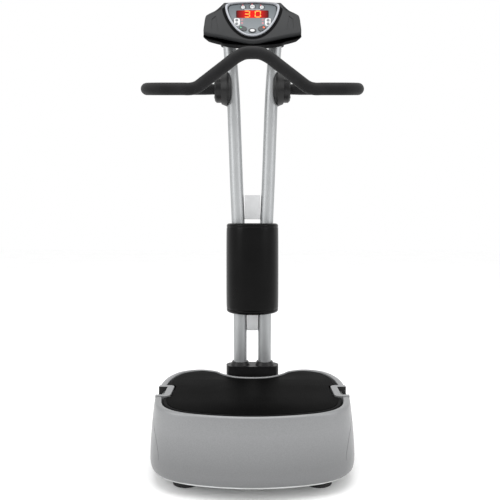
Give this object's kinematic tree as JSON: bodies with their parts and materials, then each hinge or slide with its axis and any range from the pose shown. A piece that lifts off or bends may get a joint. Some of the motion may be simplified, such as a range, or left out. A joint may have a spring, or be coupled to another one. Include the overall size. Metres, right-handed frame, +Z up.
{
  "type": "vibration plate",
  "caption": "Standing vibration plate with a rocking kidney-shaped deck, twin-tube column with roller pad, loop handlebar and two-wing console.",
  "frame": {"origin": "on the floor below the middle of the whole machine", "axes": "+Z up, +Y the way the user faces (column side), +X to the user's right"},
  "size_m": [0.594, 0.4865, 1.236],
  "materials": {
    "moulded_silver": "silver metallic moulded plastic",
    "black_plastic": "black moulded ABS",
    "deck_rubber": "ribbed rubber",
    "satin_tube": "satin silver",
    "frame_paint": "black powder coat",
    "zinc_steel": "zinc plated",
    "cast_aluminium": "machined casting",
    "bronze": "oiled bronze",
    "grip_foam": "closed-cell foam",
    "pad_vinyl": "glossy vinyl",
    "plated_bezel": "satin plated plastic",
    "charcoal_shell": "charcoal moulded ABS",
    "panel_grey": "printed membrane",
    "window_red": "tinted acrylic",
    "led_amber": "lit segments",
    "key_grey": "moulded key",
    "key_dark": "moulded key",
    "board_green": "circuit board",
    "switch_red": "rocker"
  },
  "bodies": {
    "root": {"base_plate": "zinc_steel", "base_rails": "frame_paint", "casing": "moulded_silver", "foot_pads": "deck_rubber", "foot_bolts": "zinc_steel", "casing_screws": "zinc_steel", "pivot_stands": "frame_paint", "pivot_bushes": "bronze", "motor": "cast_aluminium", "motor_cradle": "frame_paint", "drive_belt": "deck_rubber", "crank_bearings": "cast_aluminium", "controller_box": "board_green", "mains_inlet": "black_plastic", "strap_anchors": "moulded_silver", "strap_pins": "zinc_steel", "column_foot": "frame_paint", "column_bolts": "zinc_steel", "column_collar": "black_plastic", "column_tube_left": "satin_tube", "column_tube_right": "satin_tube", "upper_crossbar": "satin_tube", "lower_crossbar": "satin_tube", "roller_pad": "pad_vinyl", "handlebar_tube": "satin_tube", "handlebar_foam": "grip_foam", "housing_outer_left": "black_plastic", "housing_outer_right": "black_plastic", "housing_inner_left": "black_plastic", "housing_inner_right": "black_plastic", "housing_bolts": "zinc_steel", "neck_bracket": "frame_paint", "console_back": "black_plastic", "console_front": "charcoal_shell", "console_bezel": "plated_bezel", "face_panel": "panel_grey", "display_window": "window_red", "display_digits": "led_amber", "console_board": "board_green"},
    "deck": {"deck_frame": "frame_paint", "deck_hangers": "zinc_steel", "pivot_shaft": "zinc_steel", "deck_cover": "black_plastic", "deck_mat": "deck_rubber", "rod_pin": "zinc_steel"},
    "rod": {"connecting_rod": "cast_aluminium"},
    "crank": {"crankshaft": "zinc_steel", "driven_pulley": "cast_aluminium"},
    "rotor": {"motor_rotor": "zinc_steel"},
    "mains_rocker": {"power_switch": "switch_red"},
    "key_top_left": {"key_top_left": "key_grey"},
    "key_top_centre": {"key_top_centre": "key_grey"},
    "key_top_right": {"key_top_right": "key_grey"},
    "key_left_upper": {"key_left_upper": "key_grey"},
    "key_left_lower": {"key_left_lower": "key_grey"},
    "key_right_upper": {"key_right_upper": "key_grey"},
    "key_right_lower": {"key_right_lower": "key_grey"},
    "key_start": {"key_start": "key_dark"},
    "key_stop": {"key_stop": "key_dark"},
    "key_mode": {"key_mode": "key_dark"}
  },
  "joints": [
    {"name": "deck_rock", "type": "hinge", "parent": "root", "child": "deck", "pos_m": [0, 0, 0.135], "axis": [0, 1, 0], "range_deg": [-1.8, 1.8]},
    {"name": "rod_swing", "type": "hinge", "parent": "deck", "child": "rod", "pos_m": [0.125, 0.017, 0.146], "axis": [0, 1, 0], "range_deg": [-2, 2]},
    {"name": "crank_spin", "type": "hinge", "parent": "root", "child": "crank", "pos_m": [0.125, 0, 0.082], "axis": [0, 1, 0], "continuous": true},
    {"name": "rotor_spin", "type": "hinge", "parent": "root", "child": "rotor", "pos_m": [-0.095, -0.05, 0.082], "axis": [0, 1, 0], "continuous": true},
    {"name": "mains_rocker_tip", "type": "hinge", "parent": "root", "child": "mains_rocker", "pos_m": [-0.137, 0.1946, 0.092], "axis": [1, 0, 0], "range_deg": [0, 16]},
    {"name": "key_top_left_press", "type": "slide", "parent": "root", "child": "key_top_left", "axis": [0, 0.9511, -0.309], "range_m": [0, 0.0008], "stiffness_N_per_m": 800},
    {"name": "key_top_centre_press", "type": "slide", "parent": "root", "child": "key_top_centre", "axis": [0, 0.9511, -0.309], "range_m": [0, 0.0008], "stiffness_N_per_m": 800},
    {"name": "key_top_right_press", "type": "slide", "parent": "root", "child": "key_top_right", "axis": [0, 0.9511, -0.309], "range_m": [0, 0.0008], "stiffness_N_per_m": 800},
    {"name": "key_left_upper_press", "type": "slide", "parent": "root", "child": "key_left_upper", "axis": [0, 0.9511, -0.309], "range_m": [0, 0.0008], "stiffness_N_per_m": 800},
    {"name": "key_left_lower_press", "type": "slide", "parent": "root", "child": "key_left_lower", "axis": [0, 0.9511, -0.309], "range_m": [0, 0.0008], "stiffness_N_per_m": 800},
    {"name": "key_right_upper_press", "type": "slide", "parent": "root", "child": "key_right_upper", "axis": [0, 0.9511, -0.309], "range_m": [0, 0.0008], "stiffness_N_per_m": 800},
    {"name": "key_right_lower_press", "type": "slide", "parent": "root", "child": "key_right_lower", "axis": [0, 0.9511, -0.309], "range_m": [0, 0.0008], "stiffness_N_per_m": 800},
    {"name": "key_start_press", "type": "slide", "parent": "root", "child": "key_start", "axis": [0, 0.9511, -0.309], "range_m": [0, 0.0008], "stiffness_N_per_m": 800},
    {"name": "key_stop_press", "type": "slide", "parent": "root", "child": "key_stop", "axis": [0, 0.9511, -0.309], "range_m": [0, 0.0008], "stiffness_N_per_m": 800},
    {"name": "key_mode_press", "type": "slide", "parent": "root", "child": "key_mode", "axis": [0, 0.9511, -0.309], "range_m": [0, 0.0008], "stiffness_N_per_m": 800}
  ],
  "couplings": [
    {"joint": "rod_swing", "follows": "deck_rock", "ratio": -1},
    {"joint": "rotor_spin", "follows": "crank_spin", "ratio": 3}
  ]
}
